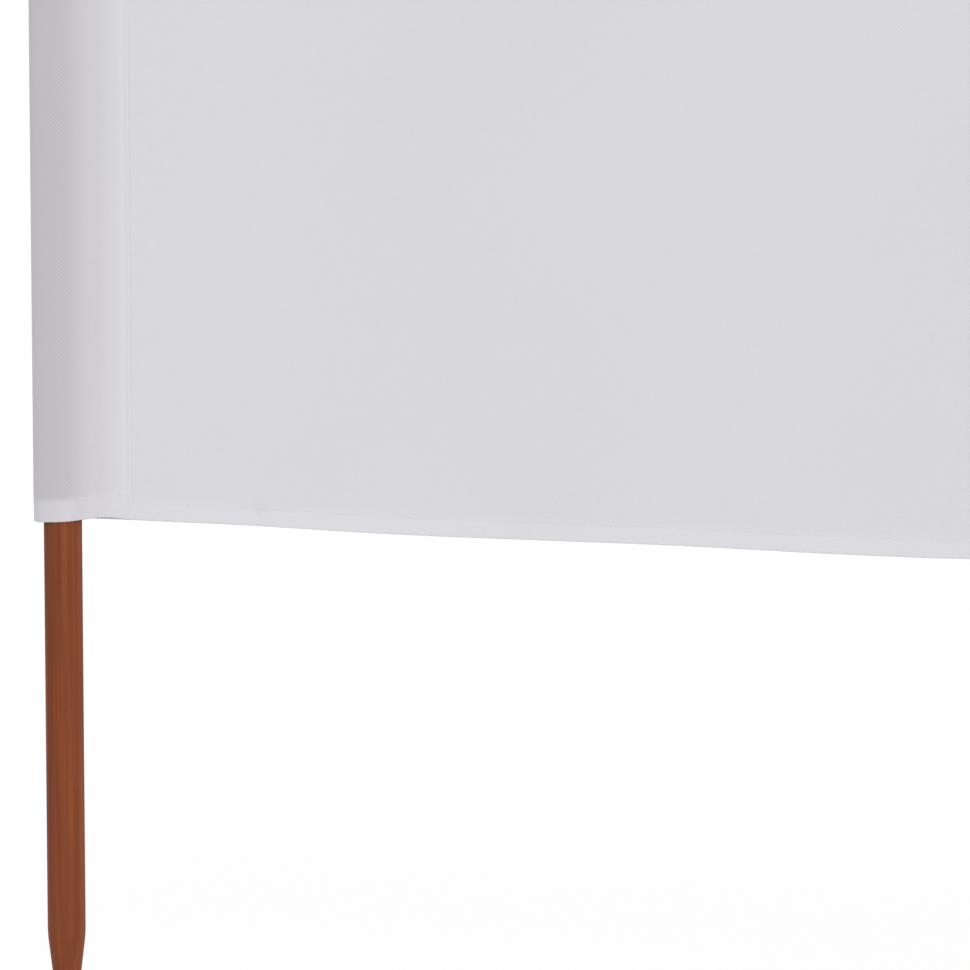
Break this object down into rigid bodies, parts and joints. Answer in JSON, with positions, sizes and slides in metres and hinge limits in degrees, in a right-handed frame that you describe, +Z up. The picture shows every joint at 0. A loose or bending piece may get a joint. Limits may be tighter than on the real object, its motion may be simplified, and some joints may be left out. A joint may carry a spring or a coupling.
{
  "type": "fabric windbreak",
  "caption": "Low windbreak of pale woven cloth stretched in flat bays between pointed round wooden stakes, each in a sewn pocket, to be pushed into sand or soil.",
  "frame": {"origin": "centre of the blunt end of the middle stake's point", "axes": "+X along the row of stakes, -Y the side on which the pockets stand out, +Z up along the stakes"},
  "size_m": [5.332, 0.0344, 1.205],
  "materials": {
    "stained_pine": "turned softwood stained reddish brown, satin",
    "polyester_cloth": "plain-woven white polyester, matt"
  },
  "bodies": {
    "root": {"stake_1": "stained_pine", "stake_2": "stained_pine", "stake_3": "stained_pine", "stake_4": "stained_pine", "stake_5": "stained_pine", "pocket_1": "polyester_cloth", "pocket_2": "polyester_cloth", "pocket_3": "polyester_cloth", "pocket_4": "polyester_cloth", "pocket_5": "polyester_cloth", "cloth_bay_1": "polyester_cloth", "cloth_bay_2": "polyester_cloth", "cloth_bay_3": "polyester_cloth", "cloth_bay_4": "polyester_cloth", "bottom_hem_1": "polyester_cloth", "bottom_hem_2": "polyester_cloth", "bottom_hem_3": "polyester_cloth", "bottom_hem_4": "polyester_cloth", "top_hem_1": "polyester_cloth", "top_hem_2": "polyester_cloth", "top_hem_3": "polyester_cloth", "top_hem_4": "polyester_cloth"}
  },
  "joints": []
}
